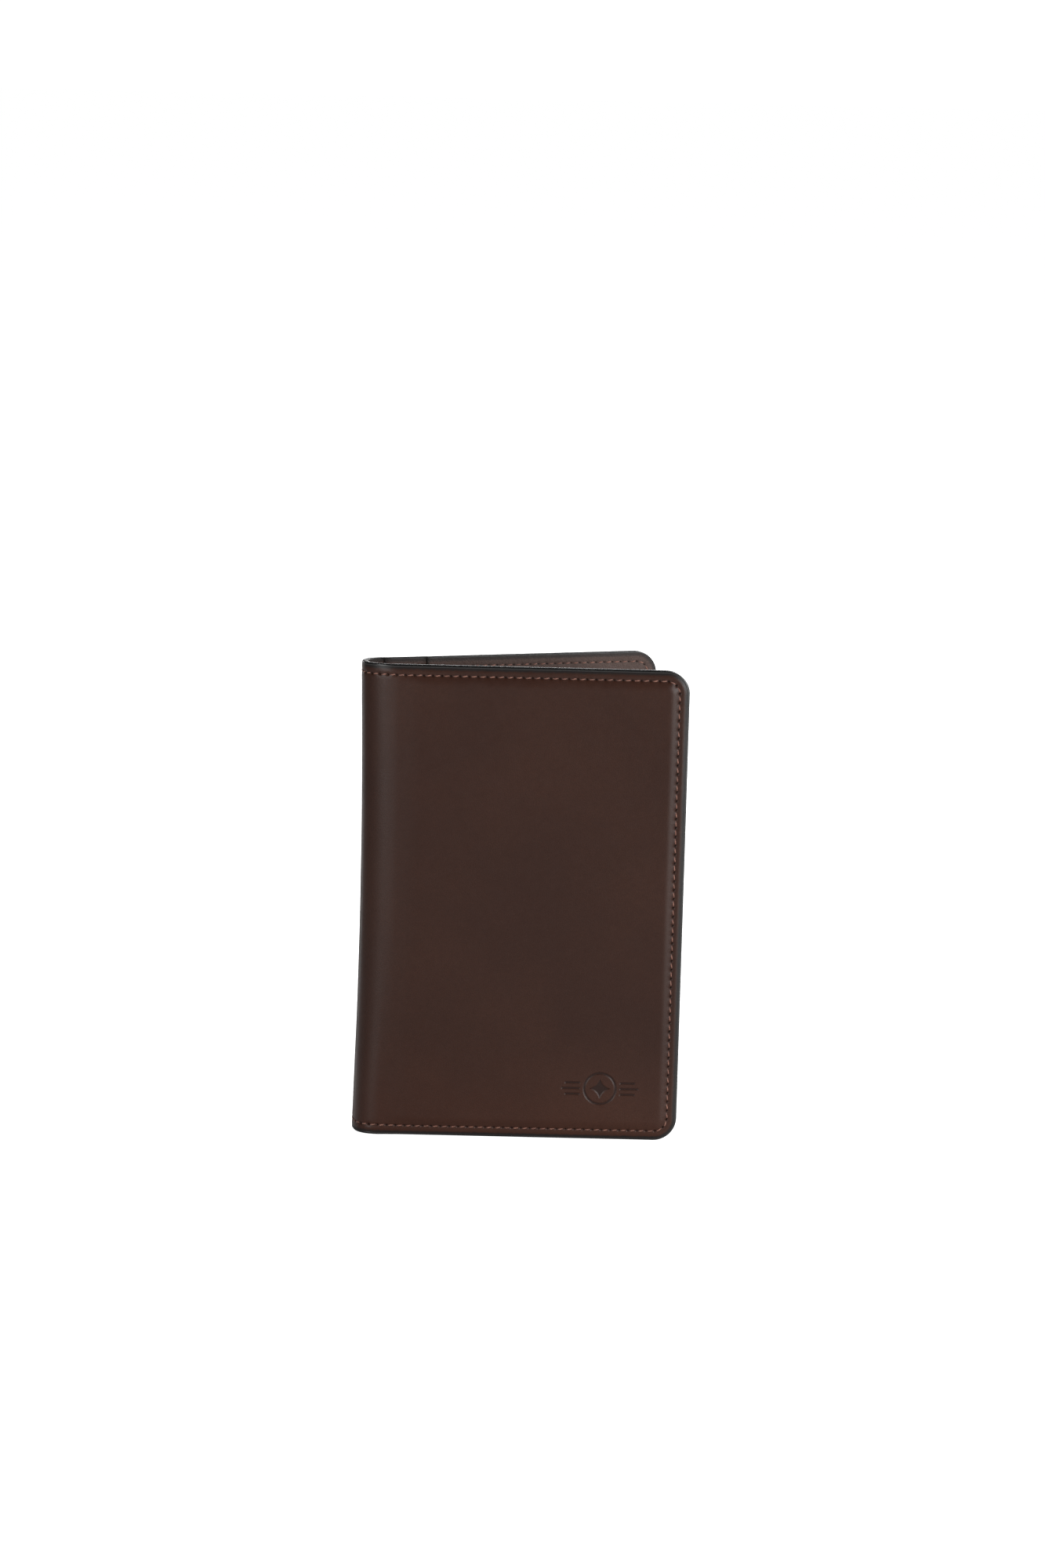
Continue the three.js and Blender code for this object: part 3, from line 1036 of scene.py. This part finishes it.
class StitchRow:
    """Collects stitches, each a closed two-ply tube, as points on the unrolled leather."""

    POINTS, SIDES = 13, 10

    def __init__(self):
        self.s, self.z, self.depth, self.end_shade = [], [], [], []
        self.faces, self.count = [], 0

    def add(self, start, end, to_plane, face_depth, inner):
        """One stitch from start to end along a seam. to_plane turns (along, across) into (s, z)."""
        number = self.count // (self.POINTS * self.SIDES)
        uneven = math.sin(2.4 * number)  # no two neighbours are alike
        t = np.linspace(0, 1, self.POINTS)[:, None]
        angle = np.linspace(0, 2 * math.pi, self.SIDES, endpoint=False)[None, :]
        swell = 0.78 + 0.22 * np.sin(math.pi * t**1.3)
        plies = 0.78 + 0.22 * np.abs(np.cos(angle - 2 * math.pi * THREAD_TURNS * t))
        radius = THREAD_RADIUS * (1 + 0.06 * uneven) * swell * plies
        along = start + (end - start) * t + 0 * angle
        across = (0.5 - t) * STITCH_SLANT * (1 + 0.3 * uneven) + radius * np.sin(angle)
        arch = THREAD_RISE * np.sin(math.pi * t**1.2) ** 0.55 - THREAD_SUNK
        lift = arch + radius * np.cos(angle)
        s, z = to_plane(along, across)
        face = face_depth(*to_plane(along, 0 * along))
        depth = face + lift if inner else face - lift
        # painted shade on the stitch's ends where they go into the holes, reaching further from its start
        end_shade = 1 - smooth(t / (0.42 + 0.1 * uneven)) * smooth((1 - t) / 0.2) + 0 * angle
        for store, values in ((self.s, s), (self.z, z), (self.depth, depth), (self.end_shade, end_shade)):
            store.append(values.ravel())
        ids = self.count + np.arange(self.POINTS * self.SIDES).reshape(self.POINTS, self.SIDES)
        self.faces += tube_faces(ids)
        self.count += ids.size

    def finish(self, name, half):
        """One object of all the stitches."""
        s, z, depth = (np.concatenate(v) for v in (self.s, self.z, self.depth))
        obj = finish_object(name, half.place(s, z, depth), self.faces, sharp_deg=70)
        add_uv(obj, s + depth, z)
        add_attribute(obj, "end_shade", np.concatenate(self.end_shade))
        return obj


def make_seam_stitches(half):
    """The perimeter seam's stitches, on the outer and the inner face."""
    seam = seams[half.side]
    row = StitchRow()

    def to_plane(along, across):
        return seam.point(along, SEAM_INSET + across)

    def outer_face(s, z):
        return leather_face(half, s, z) + OUTER_SEAT

    def inner_face(s, z):
        return stack_depth(half, s, z) - INNER_SEAT

    for k in range(seam.count):
        start, end = (k + STITCH_GAP) * seam.pitch, (k + 1 - STITCH_GAP) * seam.pitch
        row.add(start, end, to_plane, outer_face, inner=False)
        row.add(start, end, to_plane, inner_face, inner=True)
    obj = row.finish(f"{half.name}_seam_stitches", half)
    nodes = (f"{half.name}_seam_thread", "spine_top_seam_thread", "spine_bottom_seam_thread")
    return complete(obj, half, THREAD, "seam_thread", *nodes)


def make_card_seam_stitches():
    """The row that closes the card pockets towards the spine, from the lower edge to the top mouth."""
    row = StitchRow()
    line = front.s_at(CARD_SEAM_U)

    def to_plane(along, across):
        return line - across, along

    def face(s, z):
        return stack_depth(front, s, z) - CARD_SEAT

    low, high = SEAM_INSET + CARD_SEAM_FROM_SEAM, CARD_MOUTHS[0] - CARD_SEAM_FROM_MOUTH
    count = round((high - low) / STITCH_PITCH)
    pitch = (high - low) / count
    for k in range(count):
        start, end = low + (k + STITCH_GAP) * pitch, low + (k + 1 - STITCH_GAP) * pitch
        row.add(start, end, to_plane, face, inner=True)
    obj = row.finish("card_pocket_stitches", front)
    return complete(obj, front, THREAD, "seam_thread", "card_pocket_seam_thread")


def build_half(half):
    """Everything in a half but its pockets."""
    make_outer_leather(half)
    make_lining(half)
    make_board(half)
    make_foam(half)
    make_edge_paint(half)
    make_seam_stitches(half)


# ---------------------------------------------------------------- camera, lights and floor

# Azimuths and elevations are in degrees. An azimuth is from straight in front of the front cover.
CAMERA_AZIMUTH = -1.11
CAMERA_ELEVATION = 9.01
CAMERA_ROLL = 1.543
CAMERA_DISTANCE = 1.5015  # metres
CAMERA_LENS = 118.08
AIM_ALONG_COVER = 46.05  # from the front cover's corner at the spine
AIM_HEIGHT = 105.77
FLOOR_HALF_SIZE = 12.0  # metres


def way_to(azimuth, elevation):
    """Direction from the object towards a camera or a lamp."""
    around, rise = math.radians(azimuth) - HALF_OPENING, math.radians(elevation)
    level = Vector((math.sin(around), -math.cos(around), 0))
    return level * math.cos(rise) + Vector((0, 0, math.sin(rise)))


def make_camera():
    """The photograph's camera."""
    azimuth, roll = math.radians(CAMERA_AZIMUTH) - HALF_OPENING, math.radians(CAMERA_ROLL)
    back_way = way_to(CAMERA_AZIMUTH, CAMERA_ELEVATION)
    right = Vector((math.cos(azimuth), math.sin(azimuth), 0))
    up = back_way.cross(right)
    rolled_right = math.cos(roll) * right + math.sin(roll) * up
    rolled_up = math.cos(roll) * up - math.sin(roll) * right
    corner = Vector((SPINE_FACE_X, -SPINE_HALF, 0)) * MM
    aim = corner + Vector((COS, -SIN, 0)) * AIM_ALONG_COVER * MM + Vector((0, 0, AIM_HEIGHT * MM))
    data = bpy.data.cameras.new("camera")
    data.lens = CAMERA_LENS
    data.clip_start, data.clip_end = 0.05, 50
    camera = bpy.data.objects.new("camera", data)
    bpy.context.scene.collection.objects.link(camera)
    rotation = Matrix((rolled_right, rolled_up, back_way)).transposed().to_4x4()
    camera.matrix_world = Matrix.Translation(aim + back_way * CAMERA_DISTANCE) @ rotation
    bpy.context.scene.camera = camera


def softbox(name, azimuth, elevation, distance, size, power):
    """A lamp aimed at the middle of the object. Distance and (width, height) are in metres."""
    way = way_to(azimuth, elevation)
    data = bpy.data.lights.new(name, "AREA")
    data.shape = "RECTANGLE"
    data.size, data.size_y = size
    data.energy = power
    lamp = bpy.data.objects.new(name, data)
    bpy.context.scene.collection.objects.link(lamp)
    lamp.location = Vector((0, 0, HEIGHT / 2 * MM)) + way * distance
    lamp.rotation_euler = (-way).to_track_quat("-Z", "Y").to_euler()


def make_lights():
    """The left box draws the sheen on the front bend, the right one that along the fore-edge, and the
    rear strip the bright lines on the edge paint. The side and back boxes light the other sides."""
    softbox("left_softbox", azimuth=-38, elevation=12, distance=1.25, size=(0.45, 0.6), power=5.8)
    softbox("right_softbox", azimuth=42, elevation=12, distance=1.6, size=(0.5, 0.8), power=17.5)
    softbox("rear_strip", azimuth=180, elevation=3.5, distance=2.4, size=(2.6, 0.34), power=8)
    softbox("side_softbox", azimuth=98, elevation=28, distance=1.7, size=(0.8, 1.0), power=11)
    softbox("back_softbox", azimuth=150, elevation=28, distance=1.7, size=(0.9, 1.0), power=17)


def camera_only(tree, to_camera, to_others):
    """A value that differs between what the camera sees and what lights the object."""
    path = tree.nodes.new("ShaderNodeLightPath")
    value = tree.nodes.new("ShaderNodeMapRange")
    value.inputs["To Min"].default_value = to_others
    value.inputs["To Max"].default_value = to_camera
    tree.links.new(path.outputs["Is Camera Ray"], value.inputs["Value"])
    return value.outputs["Result"]


def make_world():
    """White behind the object, as the camera sees it, and a dimmer studio for everything else."""
    world = bpy.data.worlds.new("studio")
    world.use_nodes = True
    tree = world.node_tree
    background = tree.nodes["Background"]
    strength = camera_only(tree, to_camera=1.1, to_others=0.07)
    tree.links.new(strength, background.inputs["Strength"])
    background.inputs["Color"].default_value = (1, 1, 1, 1)
    bpy.context.scene.world = world


def make_floor():
    """A plain pale floor, which looks as white as the background."""
    n = Nodes("pale_floor")
    n.surface(Base_Color=(0.85, 0.85, 0.85, 1), Roughness=0.9, Emission_Color=(1, 1, 1, 1))
    n.feed(n.shader, "Emission Strength", camera_only(n.tree, to_camera=0.94, to_others=0.0))
    mesh = bpy.data.meshes.new("floor")
    signs = ((-1, -1), (1, -1), (1, 1), (-1, 1))
    corners = [(x * FLOOR_HALF_SIZE, y * FLOOR_HALF_SIZE, 0) for x, y in signs]
    mesh.from_pydata(corners, [], [(0, 1, 2, 3)])
    mesh.materials.append(n.material)
    floor = bpy.data.objects.new("floor", mesh)
    bpy.context.scene.collection.objects.link(floor)


make_camera()
make_lights()
make_world()
make_floor()
bpy.context.scene.view_settings.view_transform = "Standard"

build_half(front)
build_half(back)
make_spine_stiffener()
make_pocket(front, "front_slip_pocket_panel", "front_slip_pocket", WIDE_POCKET_U, layer=0)
for k, step in enumerate(("upper", "middle", "lower")):
    name, node = f"front_card_panel_{step}", f"front_card_pocket_{step}"
    make_pocket(front, name, node, CARD_STARTS[k], layer=k + 1, mouth=CARD_MOUTHS[k])
make_pocket(back, "back_document_panel", "back_document_pocket", WIDE_POCKET_U, layer=0)
make_pocket(back, "back_sleeve_panel", "back_passport_sleeve", SLEEVE_U, layer=1)
make_card_seam_stitches()
